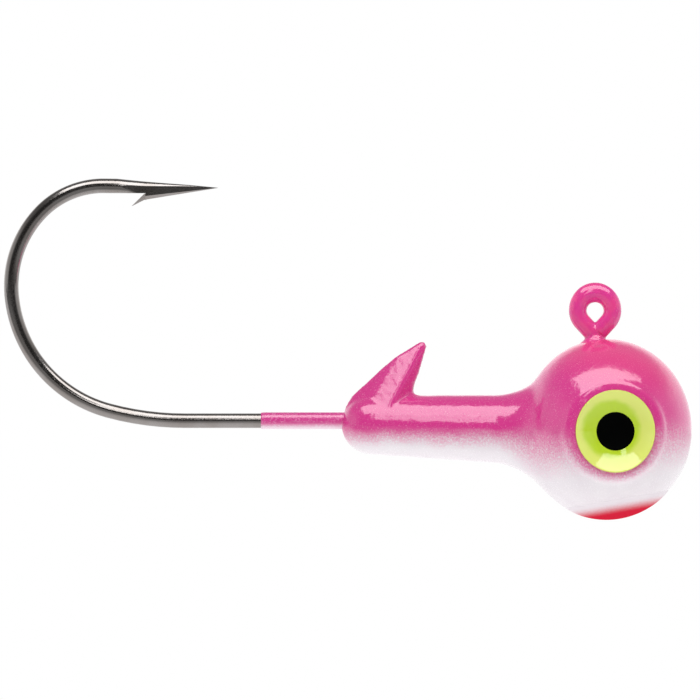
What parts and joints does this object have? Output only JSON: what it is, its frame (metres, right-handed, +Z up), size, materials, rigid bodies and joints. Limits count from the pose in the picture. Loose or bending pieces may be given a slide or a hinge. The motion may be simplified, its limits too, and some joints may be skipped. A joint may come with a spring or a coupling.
{
  "type": "jig head",
  "caption": "Round ball-head fishing jig: a painted lead head with dished eyes and a keeper barb on its collar, cast on a wide-gap barbed hook with a ring line tie.",
  "frame": {"origin": "centre of the hole in the line tie", "axes": "+X from the hook's bend to the nose, +Y through the line tie's hole, +Z up, towards the line tie and the hook's point"},
  "size_m": [0.0397, 0.0098, 0.0197],
  "materials": {
    "hook_steel": "black nickel plated, bright",
    "lead": "as cast, dull",
    "pearl_white": "pearl, gloss",
    "pink_paint": "pearl, gloss",
    "red_paint": "gloss",
    "iris_paint": "gloss",
    "black_paint": "gloss"
  },
  "bodies": {
    "root": {"hook": "hook_steel", "lead_casting": "lead", "base_coat": "pearl_white", "tie_coat": "pink_paint", "shank_coat": "pink_paint", "pink_coat": "pink_paint", "throat_patch": "red_paint", "iris_left": "iris_paint", "iris_right": "iris_paint", "pupil_left": "black_paint", "pupil_right": "black_paint"}
  },
  "joints": []
}
